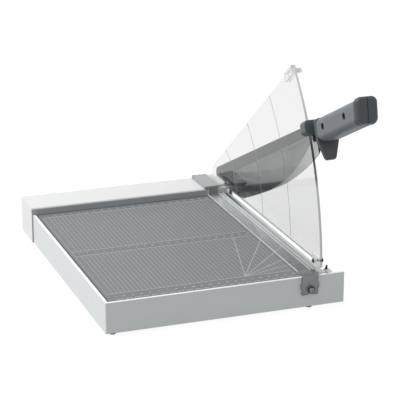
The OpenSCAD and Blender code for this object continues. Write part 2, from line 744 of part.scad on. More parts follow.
module grip_shell(side) {
  difference() {
    grip_form(0);
    difference() {
      grip_form(grip_wall);
      for (u = handle_screws_u) translate([0, -u, screw_v]) rod_x(handle_x - handle_w, 2 * handle_w, 5);
    }
    translate([side > 0 ? handle_x - handle_w : handle_x, -butt_u - 1, handle_low - 1])
      cube([handle_w, grip_l + 2, handle_h + 2]);
    translate([bar_x, -tang_end - 0.5, tang_low]) cube([bar_t, tang_end, tang_top - tang_low]);
    for (u = handle_screws_u) translate([0, -u, screw_v]) {
      rod_x(handle_x - handle_w, side > 0 ? handle_w + 8 : 2 * handle_w, 1.8 + fit);
      if (side < 0) rod_x(handle_x - handle_w, handle_w / 2 + 2.6, 3.9);
    }
  }
}

module grip_left() on_arm() color([0.50, 0.52, 0.54]) grip_shell(-1);

module grip_right() on_arm() color([0.50, 0.52, 0.54]) grip_shell(1);

module handle_screws() on_arm() color([0.15, 0.15, 0.15])
  for (u = handle_screws_u) translate([handle_x - handle_w / 2 + 2.6, -u, screw_v]) difference() {
    union() {
      rod_x(0, handle_w / 2 + 5, 1.8);
      rod_x(-1.6, 1.6, 3.5);
    }
    translate([-1.7, -0.5, -2.4]) cube([1.1, 1, 4.8]);
    translate([-1.7, -2.4, -0.5]) cube([1.1, 4.8, 1]);
  }

// Soft end of the handle: swollen past the grip, leaning back, with a groove down the middle
module handle_butt() on_arm() color([0.26, 0.28, 0.29]) {
  w = handle_w + butt_swell;
  low = handle_low - 1.5 * butt_swell;
  high = handle_top + butt_swell;
  left = handle_x - w / 2;
  difference() {
    intersection() {
      forward_run(butt_u, butt_l + 1) translate([left, low]) round_box([w, high - low], handle_r - 1);
      side_plate(left - 1, w + 2) polygon(concat([[butt_u - 1, low - 1]],
        arc([butt_u + butt_l - butt_lean - butt_r, low + butt_r], butt_r, -90, 0),
        arc([butt_u + butt_l - butt_r, high - butt_r], butt_r, 0, 90), [[butt_u - 1, high + 1]]));
      translate([0, -butt_u - butt_l, low - 1]) linear_extrude(high - low + 2)
        polygon(concat([[left - 1, butt_l + 1]], arc([left + side_r, side_r], side_r, 180, 270),
          arc([left + w - side_r, side_r], side_r, 270, 360), [[left + w + 1, butt_l + 1]]));
    }
    translate([handle_x - 0.5, -butt_u - butt_l - 1, low + 0.8]) cube([1, 1.8 + butt_lean, high - low]);
  }
}

// Clear strip with two low ribs and a step up over the rail's fence
module clamp_strip() placed() color([0.88, 0.91, 0.92, 0.4]) {
  translate([strip_x, 0.4, strip_low]) cube([strip_w, strip_back - 0.4, strip_t]);
  for (x = [strip_w - 6.6, strip_w - 2.6]) translate([strip_x + x, 12, strip_low + strip_t])
    cube([1.4, strip_back - 14, 1.2]);
  translate([strip_x, strip_back - riser_t, strip_low + strip_t])
    cube([strip_w - 7, riser_t, plate_low + clamp_plate_t - strip_low - strip_t]);
}

// Smoked bracket folded over the front apron, slotted for the guide screw
module clamp_front_bracket() placed() color([0.20, 0.21, 0.22]) difference() {
  union() {
    translate([clip_x, clip_front, clip_low]) cube([clip_w, 2.2, clip_top - clip_low]);
    translate([clip_x, clip_front, strip_low + strip_t]) cube([clip_w, 14, clip_top - strip_low - strip_t]);
    translate([clip_x - 1.3, clip_front, guide_z + 1.5]) cube([clip_w + 2.6, 2.2, 5.5]);
  }
  translate([guide_x - 2.6, clip_front - 1, clip_low - 1]) cube([5.2, 4.2, guide_z - clip_low + 1]);
  translate([guide_x, clip_front - 1, guide_z]) rotate([-90, 0, 0]) cylinder(r = 2.6, h = 4.2);
}

// Smoked plate over the rail, hinged along its rear edge
module clamp_rear_plate() placed() color([0.50, 0.52, 0.53, 0.8]) difference() {
  union() {
    translate([clamp_plate_x, strip_back - riser_t, plate_low + clamp_plate_t])
      cube([clamp_plate_w, hinge_y - hinge_r - 0.6 - strip_back + riser_t, clamp_plate_t]);
    translate([clamp_plate_x + 3.8, hinge_y - 6, plate_low]) cube([clamp_plate_w - 7.6, 6, 2 * hinge_r]);
    translate([clamp_plate_x, strip_back + 2, plate_low])
      cube([clamp_plate_w, hinge_y - hinge_r - 5 - strip_back, clamp_plate_t + eps]);
    translate([0, hinge_y, hinge_z]) rod_x(clamp_plate_x + 3.8, clamp_plate_w - 7.6, hinge_r);
  }
  translate([0, hinge_y, hinge_z]) rod_x(clamp_plate_x, clamp_plate_w, pin_r + fit);
}

base_frame();
table_plate();
table_channels();
side_channel();
lower_knife();
knife_screws();
back_rail();
paper_fence();
rail_brackets();
rubber_feet();
pivot_plate();
pivot_block();
plate_screws();
pivot_bolt();
pivot_nut();
friction_washer();
guard();
guard_front_bracket();
guard_screws();
stop_clip();
blade_guide();
guide_nub();
clamp_guide_screw();
hinge_lugs();
clamp_pin();
blade();
arm_bar();
blade_rivets();
pivot_bush();
arm_collar();
arm_buffer();
finger_guard();
grip_left();
grip_right();
handle_butt();
handle_screws();
clamp_strip();
clamp_front_bracket();
clamp_rear_plate();
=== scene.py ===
import bmesh
import bpy
import json
import math
from mathutils import Matrix, Vector


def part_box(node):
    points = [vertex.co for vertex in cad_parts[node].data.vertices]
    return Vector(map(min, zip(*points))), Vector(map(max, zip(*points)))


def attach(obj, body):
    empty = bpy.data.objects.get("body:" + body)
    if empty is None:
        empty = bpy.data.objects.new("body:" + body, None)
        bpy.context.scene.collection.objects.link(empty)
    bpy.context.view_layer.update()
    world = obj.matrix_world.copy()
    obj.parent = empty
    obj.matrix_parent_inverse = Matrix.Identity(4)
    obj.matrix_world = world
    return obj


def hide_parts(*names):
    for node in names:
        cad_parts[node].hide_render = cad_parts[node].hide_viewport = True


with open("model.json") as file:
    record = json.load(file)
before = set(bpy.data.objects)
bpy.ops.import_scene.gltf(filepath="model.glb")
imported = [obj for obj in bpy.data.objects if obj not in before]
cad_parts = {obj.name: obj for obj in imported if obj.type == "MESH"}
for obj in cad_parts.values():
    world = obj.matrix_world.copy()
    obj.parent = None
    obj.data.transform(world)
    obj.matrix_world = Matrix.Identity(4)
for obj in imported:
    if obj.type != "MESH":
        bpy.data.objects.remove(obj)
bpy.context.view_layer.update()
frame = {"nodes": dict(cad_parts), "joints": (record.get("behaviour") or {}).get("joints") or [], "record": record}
nodes = frame["nodes"]
joints = {j["name"]: j for j in frame["joints"]}
mm = 0.001

# The drawing's zero is the front left bottom corner of the aprons
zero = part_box("base_frame")[0]
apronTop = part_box("base_frame")[1].z
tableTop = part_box("table_plate")[1].z
pivot = Vector(joints["arm_hinge"]["pos_m"])
armAngle = -math.radians(joints["arm_hinge"]["range_deg"][0])


def at(x, y, z):
    return zero + Vector((x, y, z)) * mm


# Materials

def startMaterial(name):
    material = bpy.data.materials.new(name)
    material.use_nodes = True
    tree = material.node_tree
    return material, tree, tree.nodes["Principled BSDF"]


def addNode(tree, kind, inputs=None, **settings):
    node = tree.nodes.new(kind)
    for key, value in settings.items():
        setattr(node, key, value)
    for key, value in (inputs or {}).items():
        node.inputs[key].default_value = value
    return node


def objectPlace(tree, stretch=(1, 1, 1), turn=(0, 0, 0)):
    place = addNode(tree, "ShaderNodeTexCoord")
    mapping = addNode(tree, "ShaderNodeMapping", {"Scale": stretch, "Rotation": turn})
    tree.links.new(place.outputs["Object"], mapping.inputs["Vector"])
    return mapping.outputs["Vector"]


def noiseOn(tree, place, scale, detail=3.0):
    noise = addNode(tree, "ShaderNodeTexNoise", {"Scale": scale, "Detail": detail})
    tree.links.new(place, noise.inputs["Vector"])
    return noise.outputs["Fac"]


noiseReach = (0.3, 0.7)  # nearly all of a noise's values lie between these


def spreadTo(tree, factor, low, high, socket):
    spread = addNode(tree, "ShaderNodeMapRange", {"From Min": noiseReach[0], "From Max": noiseReach[1],
                                                  "To Min": low, "To Max": high})
    tree.links.new(factor, spread.inputs["Value"])
    tree.links.new(spread.outputs["Result"], socket)


def tintTo(tree, factor, color, spread, socket):
    mix = addNode(tree, "ShaderNodeMix", data_type="RGBA")
    mix.inputs["A"].default_value = [c * (1 - spread) for c in color] + [1]
    mix.inputs["B"].default_value = [min(1, c * (1 + spread)) for c in color] + [1]
    tree.links.new(factor, mix.inputs["Factor"])
    tree.links.new(mix.outputs["Result"], socket)


def bumpTo(tree, shader, factor, depth):
    bump = addNode(tree, "ShaderNodeBump", {"Strength": 1.0, "Distance": depth})
    tree.links.new(factor, bump.inputs["Height"])
    tree.links.new(bump.outputs["Normal"], shader.inputs["Normal"])


broadPatches = {"scale": 35, "detail": 4.0}  # slow change of colour over a painted or moulded piece


def finish(name, color, rough, spread=0.03, roughSpread=0.05, grain=1600, depth=0.00001, metal=0.0,
           stretch=(1, 1, 1), turn=(0, 0, 0), specular=0.5):
    material, tree, shader = startMaterial(name)
    place = objectPlace(tree, stretch, turn)
    fine = noiseOn(tree, place, grain)
    broad = noiseOn(tree, objectPlace(tree), broadPatches["scale"], broadPatches["detail"])
    tintTo(tree, broad, color, spread, shader.inputs["Base Color"])
    spreadTo(tree, fine, rough - roughSpread, rough + roughSpread, shader.inputs["Roughness"])
    bumpTo(tree, shader, fine, depth)
    shader.inputs["Metallic"].default_value = metal
    shader.inputs["Specular IOR Level"].default_value = specular
    return material


clearSheet = {"scale": 30, "detail": 2.0, "tint": 0.02, "roughSpread": 0.02, "ripple": 0.00002, "ior": 1.49}


def clearFinish(name, color, alpha, rough=0.08, mirror=0.0):
    material, tree, shader = startMaterial(name)
    c = clearSheet
    broad = noiseOn(tree, objectPlace(tree), c["scale"], c["detail"])
    tintTo(tree, broad, color, c["tint"], shader.inputs["Base Color"])
    spreadTo(tree, broad, rough - c["roughSpread"], rough + c["roughSpread"], shader.inputs["Roughness"])
    bumpTo(tree, shader, broad, c["ripple"])
    shader.inputs["Alpha"].default_value = alpha
    shader.inputs["IOR"].default_value = c["ior"]
    if mirror:
        addMirror(tree, shader, mirror)
    return material


mirrorGrowth = {"power": 4, "headOn": 0.05, "rough": 0.03}


def addMirror(tree, shader, mirror):
    # Reflection that grows at grazing angles, on the side that faces the viewer
    weight = addNode(tree, "ShaderNodeLayerWeight", {"Blend": 0.5})
    power = addNode(tree, "ShaderNodeMath", operation="POWER")
    power.inputs[1].default_value = mirrorGrowth["power"]
    share = addNode(tree, "ShaderNodeMath", operation="MULTIPLY_ADD")
    share.inputs[1].default_value = mirror
    share.inputs[2].default_value = mirror * mirrorGrowth["headOn"]
    side = addNode(tree, "ShaderNodeNewGeometry")
    front = addNode(tree, "ShaderNodeMath", operation="SUBTRACT")
    front.inputs[0].default_value = 1
    seen = addNode(tree, "ShaderNodeMath", operation="MULTIPLY")
    gloss = addNode(tree, "ShaderNodeBsdfAnisotropic", {"Color": (1, 1, 1, 1),
                                                        "Roughness": mirrorGrowth["rough"]})
    mix = addNode(tree, "ShaderNodeMixShader")
    tree.links.new(weight.outputs["Facing"], power.inputs[0])
    tree.links.new(power.outputs[0], share.inputs[0])
    tree.links.new(side.outputs["Backfacing"], front.inputs[1])
    tree.links.new(share.outputs[0], seen.inputs[0])
    tree.links.new(front.outputs[0], seen.inputs[1])
    tree.links.new(seen.outputs[0], mix.inputs["Fac"])
    tree.links.new(shader.outputs["BSDF"], mix.inputs[1])
    tree.links.new(gloss.outputs[0], mix.inputs[2])
    tree.links.new(mix.outputs[0], tree.nodes["Material Output"].inputs["Surface"])


# Painted reflection along the clear strip. From and to are mm from the front, each stop is place, tone and haze
stripPaintedReflection = {"from": 10, "to": 308, "greenBlue": (1.06, 1.08),
             "stops": ((0, 0.02, 0.2), (0.23, 0.3, 0.19), (0.47, 0.66, 0.19), (0.7, 0.85, 0.24),
                       (0.92, 0.95, 0.3), (1, 0.4, 0.2))}


def paintedReflectionStripFinish():
    # Painted reflection: the clear strip's colour and haze are painted dark at the front, where it shows the dark
    # of the table, lighter toward the rail, where it gathers light, and darker again at its very rear
    material = clearFinish("stripClearPaintedReflection", (0.62, 0.64, 0.64), 0.25, 0.12, mirror=0.3)
    tree = material.node_tree
    shader = tree.nodes["Principled BSDF"]
    split = addNode(tree, "ShaderNodeSeparateXYZ")
    tree.links.new(objectPlace(tree), split.inputs["Vector"])
    reach = addNode(tree, "ShaderNodeMapRange", {"From Min": zero.y + stripPaintedReflection["from"] * mm,
                                                 "From Max": zero.y + stripPaintedReflection["to"] * mm})
    tone = addNode(tree, "ShaderNodeValToRGB")
    haze = addNode(tree, "ShaderNodeValToRGB")
    green, blue = stripPaintedReflection["greenBlue"]
    first, *inner, last = stripPaintedReflection["stops"]
    for ramp, kind in ((tone, 1), (haze, 2)):
        ends = ramp.color_ramp.elements
        ends[0].color = (first[kind], first[kind] * green, first[kind] * blue, 1)
        ends[1].color = (last[kind], last[kind] * green, last[kind] * blue, 1)
        for stop in inner:
            ends.new(stop[0]).color = (stop[kind], stop[kind] * green, stop[kind] * blue, 1)
        tree.links.new(reach.outputs["Result"], ramp.inputs["Fac"])
    tree.links.new(split.outputs["Y"], reach.inputs["Value"])
    tree.links.new(tone.outputs["Color"], shader.inputs["Base Color"])
    tree.links.new(haze.outputs["Color"], shader.inputs["Alpha"])
    return material


# Painted reflection on the guard's front edge. High is mm above zero, each stop is place and tone
guardEdgePaintedReflection = {"high": 260, "foot": (0.6, 0.61, 0.61), "tip": (0.75, 0.76, 0.76), "greenBlue": 1.03,
             "stops": ((0.5, 0.62), (0.54, 0.03), (0.68, 0.02), (0.72, 0.6)),
             "scale": 60, "detail": 2.0, "rough": (0.15, 0.25), "alpha": 0.92}


def paintedFrontEdgeReflection():
    # Painted reflection: the guard's front edge is painted grey, and near black along part of its height where the
    # dark arm behind it shows; this dark stretch is fixed and doesn't move with the arm
    material, tree, shader = startMaterial("guardFrontPaintedReflection")
    place = objectPlace(tree)
    split = addNode(tree, "ShaderNodeSeparateXYZ")
    tree.links.new(place, split.inputs["Vector"])
    reach = addNode(tree, "ShaderNodeMapRange", {"From Min": zero.z,
                                                 "From Max": zero.z + guardEdgePaintedReflection["high"] * mm})
    tree.links.new(split.outputs["Z"], reach.inputs["Value"])
    ramp = addNode(tree, "ShaderNodeValToRGB")
    ends = ramp.color_ramp.elements
    ends[0].color = (*guardEdgePaintedReflection["foot"], 1)
    ends[1].color = (*guardEdgePaintedReflection["tip"], 1)
    for position, tone in guardEdgePaintedReflection["stops"]:
        ends.new(position).color = (tone, tone * guardEdgePaintedReflection["greenBlue"], tone * guardEdgePaintedReflection["greenBlue"], 1)
    tree.links.new(reach.outputs["Result"], ramp.inputs["Fac"])
    tree.links.new(ramp.outputs["Color"], shader.inputs["Base Color"])
    broad = noiseOn(tree, place, guardEdgePaintedReflection["scale"], guardEdgePaintedReflection["detail"])
    spreadTo(tree, broad, *guardEdgePaintedReflection["rough"], shader.inputs["Roughness"])
    shader.inputs["Alpha"].default_value = guardEdgePaintedReflection["alpha"]
    return material


# Pieces

def asPiece(mesh, name, body, materials, replaces=()):
    for material in materials:
        mesh.materials.append(material)
    piece = bpy.data.objects.new(name, mesh)
    bpy.context.scene.collection.objects.link(piece)
    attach(piece, body)
    if replaces:
        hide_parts(*replaces)
    return piece


bodyOf = {n: b for b, names in frame["record"]["behaviour"]["bodies"].items() for n in names}
mending = {"merge": 0.002, "flatDeg": 0.05, "sharpDeg": 28}


def roundEdges(piece, width, segments):
    bevel = piece.modifiers.new("roundEdges", "BEVEL")
    bevel.width = width
    bevel.segments = segments
    bevel.limit_method = "ANGLE"
    bevel.angle_limit = math.radians(mending["sharpDeg"])
    bevel.harden_normals = True


def dressed(node, material, edge=0.35, segments=2, more=(), choose=None, reshape=None):
    # A copy of a CAD node with its triangles joined and its edges rounded
    shape = bmesh.new()
    shape.from_mesh(nodes[node].data)
    bmesh.ops.remove_doubles(shape, verts=shape.verts, dist=mending["merge"] * mm)
    bmesh.ops.dissolve_limit(shape, angle_limit=math.radians(mending["flatDeg"]), verts=shape.verts,
                             edges=shape.edges)
    if reshape:
        reshape(shape)
    for face in shape.faces:
        face.smooth = True
        face.material_index = choose(face) if choose else 0
    mesh = bpy.data.meshes.new(node + "_dressed")
    shape.to_mesh(mesh)
    shape.free()
    mesh.set_sharp_from_angle(angle=math.radians(mending["sharpDeg"]))
    piece = asPiece(mesh, node + "_dressed", bodyOf[node], [material, *more], [node])
    roundEdges(piece, edge * mm, segments)


def plain(node, material):
    mesh = nodes[node].data
    mesh.materials.clear()
    mesh.materials.append(material)


# Camera and light

camera = {"placeMm": (-476.4, -1620.9, 717.7), "yawDeg": 19.839, "pitchDeg": 18.495, "focalPx": 1686.2,
          "framePx": 400, "sensor": 36, "clip": (0.1, 20)}


def makeCamera():
    yaw, pitch = math.radians(camera["yawDeg"]), math.radians(camera["pitchDeg"])
    ahead = Vector((math.sin(yaw) * math.cos(pitch), math.cos(yaw) * math.cos(pitch), -math.sin(pitch)))
    right = Vector((math.cos(yaw), -math.sin(yaw), 0))
    up = right.cross(ahead)
    data = bpy.data.cameras.new("camera")
    data.sensor_width = camera["sensor"]
    data.lens = camera["sensor"] * camera["focalPx"] / camera["framePx"]
    data.clip_start, data.clip_end = camera["clip"]
    made = bpy.data.objects.new("camera", data)
    turn = Matrix((right, up, -ahead)).transposed().to_4x4()
    made.matrix_world = Matrix.Translation(at(*camera["placeMm"])) @ turn
    bpy.context.scene.collection.objects.link(made)
    bpy.context.scene.camera = made


light = {"fill": 0.5, "keyWatts": 33.0, "keySize": 1.2, "keyPlace": (-1.3, 0.35, 1.65),
         "floorSize": 6, "floorGlow": 0.9, "floorBounce": 0.38, "floorColor": (0.12, 0.12, 0.12),
         "floorRough": 0.9}


def seenRay(tree):
    path = addNode(tree, "ShaderNodeLightPath")
    first = addNode(tree, "ShaderNodeMath", operation="MAXIMUM")
    second = addNode(tree, "ShaderNodeMath", operation="MAXIMUM")
    tree.links.new(path.outputs["Is Camera Ray"], first.inputs[0])
    tree.links.new(path.outputs["Is Glossy Ray"], first.inputs[1])
    tree.links.new(first.outputs[0], second.inputs[0])
    tree.links.new(path.outputs["Is Transmission Ray"], second.inputs[1])
    return second.outputs[0]


def makeLight():
    bpy.context.scene.view_settings.view_transform = "Standard"
    world = bpy.data.worlds.new("studio")
    bpy.context.scene.world = world
    world.use_nodes = True
    tree = world.node_tree
    tree.nodes.clear()
    soft = addNode(tree, "ShaderNodeBackground", {"Color": (1, 1, 1, 1), "Strength": light["fill"]})
    white = addNode(tree, "ShaderNodeBackground", {"Color": (1, 1, 1, 1), "Strength": 1.0})
    mix = addNode(tree, "ShaderNodeMixShader")
    out = addNode(tree, "ShaderNodeOutputWorld")
    tree.links.new(seenRay(tree), mix.inputs["Fac"])
    tree.links.new(soft.outputs[0], mix.inputs[1])
    tree.links.new(white.outputs[0], mix.inputs[2])
    tree.links.new(mix.outputs[0], out.inputs["Surface"])

    data = bpy.data.lights.new("key", "AREA")
    data.energy = light["keyWatts"]
    data.size = light["keySize"]
    key = bpy.data.objects.new("key", data)
    key.location = light["keyPlace"]
    key.rotation_mode = "QUATERNION"
    key.rotation_quaternion = (-Vector(light["keyPlace"])).to_track_quat("-Z", "Y")
    bpy.context.scene.collection.objects.link(key)


def makeFloor():
    shape = bmesh.new()
    bmesh.ops.create_grid(shape, x_segments=1, y_segments=1, size=light["floorSize"])
    mesh = bpy.data.meshes.new("floor")
    shape.to_mesh(mesh)
    shape.free()
    material, tree, shader = startMaterial("floorPaper")
    shader.inputs["Base Color"].default_value = (*light["floorColor"], 1)
    shader.inputs["Roughness"].default_value = light["floorRough"]
    # Bright where it is seen or mirrored, softer as a source of light
    glow = addNode(tree, "ShaderNodeMapRange", {"To Min": light["floorBounce"],
                                                "To Max": light["floorGlow"]})
    tree.links.new(seenRay(tree), glow.inputs["Value"])
    tree.links.new(glow.outputs["Result"], shader.inputs["Emission Strength"])
    shader.inputs["Emission Color"].default_value = (1, 1, 1, 1)
    mesh.materials.append(material)
    floor = bpy.data.objects.new("floor", mesh)
    bpy.context.scene.collection.objects.link(floor)


makeCamera()
makeLight()
makeFloor()
print("camera, light and floor")

along = (-armAngle, 0, 0)  # turns the grinding marks to lie along the raised arm
paint = finish("lightPaint", (0.70, 0.727, 0.73), 0.42, depth=0.000008)
# Painted highlight: the top of the rim is painted near white
rimPaintedHighlight = finish("rimPaintedHighlight", (0.95, 0.955, 0.955), 0.3, spread=0.01, depth=0.000008)
railPaint = finish("railPaint", (0.78, 0.785, 0.785), 0.40, depth=0.000008)
tablePaint = finish("tablePaint", (0.185, 0.203, 0.209), 0.65, spread=0.04)
zinc = finish("zincSteel", (0.62, 0.63, 0.64), 0.34, metal=1.0, grain=900, stretch=(1, 0.1, 1))
knifeSteel = finish("knifeSteel", (0.33, 0.34, 0.345), 0.28, metal=1.0, grain=1400, stretch=(1, 0.04, 1))
bladeSteel = finish("bladeSteel", (0.165, 0.18, 0.184), 0.14, roughSpread=0.02, depth=0.0000015, metal=1.0,
                    grain=1200, stretch=(1, 0.05, 1), turn=along)
bevelSteel = finish("bevelSteel", (0.62, 0.645, 0.645), 0.4, depth=0.000002, metal=0.7, grain=1800,
                    stretch=(1, 1, 0.05), turn=along)
# Painted highlight: the blade's top edge is painted near white
bladeEdgeHighlight = finish("bladeEdgeHighlight", (0.95, 0.955, 0.955), 0.4, metal=0.5, grain=1200)
rivetSteel = finish("rivetSteel", (0.19, 0.205, 0.21), 0.15, roughSpread=0.03, depth=0.000003, metal=1.0,
                    grain=1200)
barCoat = finish("barCoat", (0.03, 0.034, 0.036), 0.5, specular=0.3)
bronze = finish("bushBronze", (0.66, 0.5, 0.28), 0.35, metal=1.0)
castMetal = finish("castMetal", (0.45, 0.46, 0.47), 0.5, metal=0.9, depth=0.00003, grain=700)
fencePlastic = finish("fencePlastic", (0.39, 0.415, 0.425), 0.55)
gripPlastic = finish("gripPlastic", (0.148, 0.165, 0.18), 0.5, depth=0.00003, grain=1300)
darkPlastic = finish("darkPlastic", (0.048, 0.062, 0.069), 0.45, depth=0.00003, grain=1300)
collarPlastic = finish("collarPlastic", (0.088, 0.106, 0.114), 0.45, depth=0.00003, grain=1300)
buttRubber = finish("buttRubber", (0.055, 0.068, 0.075), 0.5, depth=0.00003, grain=1300)
blackRubber = finish("blackRubber", (0.012, 0.012, 0.012), 0.6)
footRubber = finish("footRubber", (0.03, 0.03, 0.03), 0.7)
blackScrew = finish("blackScrew", (0.012, 0.012, 0.012), 0.4)
# Black screw heads darkened further as painted shade of their deep recesses; their crosses are painted light grey
# as a highlight
blackAndRecessShade = finish("blackAndRecessShade", (0.006, 0.006, 0.006), 0.6, specular=0.1)
crossHighlight = finish("crossHighlight", (0.5, 0.51, 0.52), 0.4)
guidePlastic = finish("guidePlastic", (0.82, 0.82, 0.8), 0.45)
# Inks 2 and 3 are not print: painted shade in gaps, and a painted highlight on the knife's edge
inks = [finish("gridInk", (0.40, 0.425, 0.43), 0.55), finish("ruleInk", (0.56, 0.585, 0.59), 0.5),
        finish("paintedGapShade", (0.05, 0.053, 0.055), 0.6), finish("knifeEdgeHighlight", (0.86, 0.87, 0.87), 0.3)]
guardClear = clearFinish("guardClear", (0.07, 0.072, 0.072), 0.12, mirror=0.7)
guardLine = clearFinish("guardLine", (0.45, 0.46, 0.46), 0.55, 0.15)
guardFrontPaintedReflection = paintedFrontEdgeReflection()
guardLow = clearFinish("guardLow", (0.2, 0.21, 0.21), 0.7, 0.2)
guardFoot = clearFinish("guardFoot", (0.8, 0.81, 0.81), 0.6, 0.1, mirror=0.5)
clipClear = clearFinish("clipClear", (0.9, 0.91, 0.91), 0.15, 0.1, mirror=0.5)
clipEdge = clearFinish("clipEdge", (0.4, 0.41, 0.41), 0.4, 0.15)
footClear = clearFinish("footClear", (0.96, 0.965, 0.965), 0.45, 0.1, mirror=0.5)
stripClearPaintedReflection = paintedReflectionStripFinish()
# Painted highlight: the clear strip's edges are painted near white
stripEdgeHighlight = clearFinish("stripEdgeHighlight", (0.85, 0.87, 0.87), 0.8, 0.15)
stripRear = clearFinish("stripRear", (0.45, 0.46, 0.47), 0.3, 0.12, mirror=0.2)
smoked = clearFinish("smokedPlastic", (0.26, 0.275, 0.28), 0.27, 0.12, mirror=0.3)
smokedEdge = clearFinish("smokedEdge", (0.07, 0.073, 0.075), 0.85, 0.15)
smokedPlate = clearFinish("smokedPlate", (0.36, 0.38, 0.385), 0.85, 0.2, mirror=0.3)
screwRing = finish("screwRing", (0.05, 0.052, 0.054), 0.35, metal=0.6)
screwDome = finish("screwDome", (0.22, 0.225, 0.23), 0.3, metal=0.9)
print("materials")

# Which of its materials each face of a piece takes

skin = 0.1  # what lies nearer to a face than this, in mm, is in that face
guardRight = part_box("guard")[1].x
guardRadius = max((v.co.yz - pivot.yz).length for v in nodes["guard"].data.vertices)
guardDepths = {"grooveEdge": 2.3, "groove": 2.7, "sheet": 2.85, "frontEdge": 0.3}


def guardFace(face):
    # 0 clear, 1 moulded lines, 2 front edge with its painted reflection, 3 lower edge, 4 foot on the rail
    middle = face.calc_center_median()
    deep = (guardRight - middle.x) / mm
    if deep > guardDepths["sheet"]:
        return 4
    if deep > skin and abs(face.normal.x) > 0.95:
        return 1 if deep < guardDepths["groove"] else 0
    if deep < skin:
        return 0
    if (middle.yz - pivot.yz).length > guardRadius - guardDepths["frontEdge"] * mm:
        return 2
    if deep > guardDepths["grooveEdge"]:
        return 1
    return 3 if face.normal.z < -0.9 else 0


riserArea = 60  # square mm, which the strip's ends don't reach


def stripFace(face):
    # 0 top and bottom, 1 edges, painted near white as a highlight, 2 the part turned up to the rail
    if abs(face.normal.z) > 0.5:
        return 0
    return 2 if abs(face.normal.y) > 0.9 and face.calc_area() > riserArea * mm * mm else 1


def clipFace(face):
    return 0 if abs(face.normal.x) > 0.9 else 1


def bracketFace(face):
    return 1 if abs(face.normal.x) > 0.7 or face.normal.z < -0.7 else 0


def rimHighlightFace(face):
    # The top of the rim around the table, painted lighter as a highlight
    return 1 if face.normal.z > 0.9 and face.calc_center_median().z > apronTop - skin * mm else 0


screwMiddle = sum(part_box("clamp_guide_screw"), Vector()) / 2
domeRadius = 3


def screwFace(face):
    # The dome in the middle of the washer head
    away = face.calc_center_median() - screwMiddle
    return 1 if away.xz.length < domeRadius * mm else 0


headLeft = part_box("handle_screws")[0].x
crossDepths = {"skin": 0.05, "floor": 1.5}


def slotFace(face):
    # The sunk cross in a screw's head, on the side that shows, painted light grey as a highlight
    depth = (face.calc_center_median().x - headLeft) / mm
    floor = depth > crossDepths["skin"] and face.normal.x < -0.9
    wall = abs(face.normal.y) > 0.99 or abs(face.normal.z) > 0.99
    return 1 if depth < crossDepths["floor"] and (floor or wall) else 0


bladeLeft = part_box("blade")[0].x
heel = {"front": 268.0, "frontHeight": 41.2, "pivotHeight": 39.0, "hubRadius": 19.8}


def cutHeel(shape):
    # The blade's heel is cut back, so that the raised blade leaves the paper slot free
    front = zero.y + heel["front"] * mm
    for vertex in shape.verts:
        share = (vertex.co.y - front) / (pivot.y - front)
        height = zero.z + (heel["frontHeight"] + share * (heel["pivotHeight"] - heel["frontHeight"])) * mm
        if share > 0 and vertex.co.z < height and (vertex.co - pivot).yz.length > heel["hubRadius"] * mm:
            vertex.co.z = height
    shape.normal_update()


def bladeFace(face):
    # 0 flat, 1 ground band, 2 top edge, painted near white as a highlight
    middle = face.calc_center_median()
    if face.normal.x < -0.95:
        return 1 if middle.x > bladeLeft + skin * mm else 0
    return 2 if face.normal.z > 0.85 else 0


# The handle's soft end: a leaning cap with round corners and a groove down its middle. Its skirt
# reaches back over the grip, furthest at the bottom, so its joint leans as its end does
butt = {"skirt": 6.0, "jointLap": 0.2, "bottomReach": 1.3, "topReach": 8.7, "cornerRound": 7.0,
        "cornerSteps": 8, "endRound": 5.6, "endSteps": 7, "grooveWide": 0.8, "grooveDeep": 1.0,
        "sharpDeg": 40}


def onArm(x, u, v):
    # A place given across, along and above the arm, counted from the pivot
    return Vector((x, pivot.y - u * math.cos(armAngle) + v * math.sin(armAngle),
                   pivot.z + u * math.sin(armAngle) + v * math.cos(armAngle)))


def armPlace(place):
    away = place - pivot
    return Vector((place.x, away.z * math.sin(armAngle) - away.y * math.cos(armAngle),
                   away.y * math.sin(armAngle) + away.z * math.cos(armAngle)))


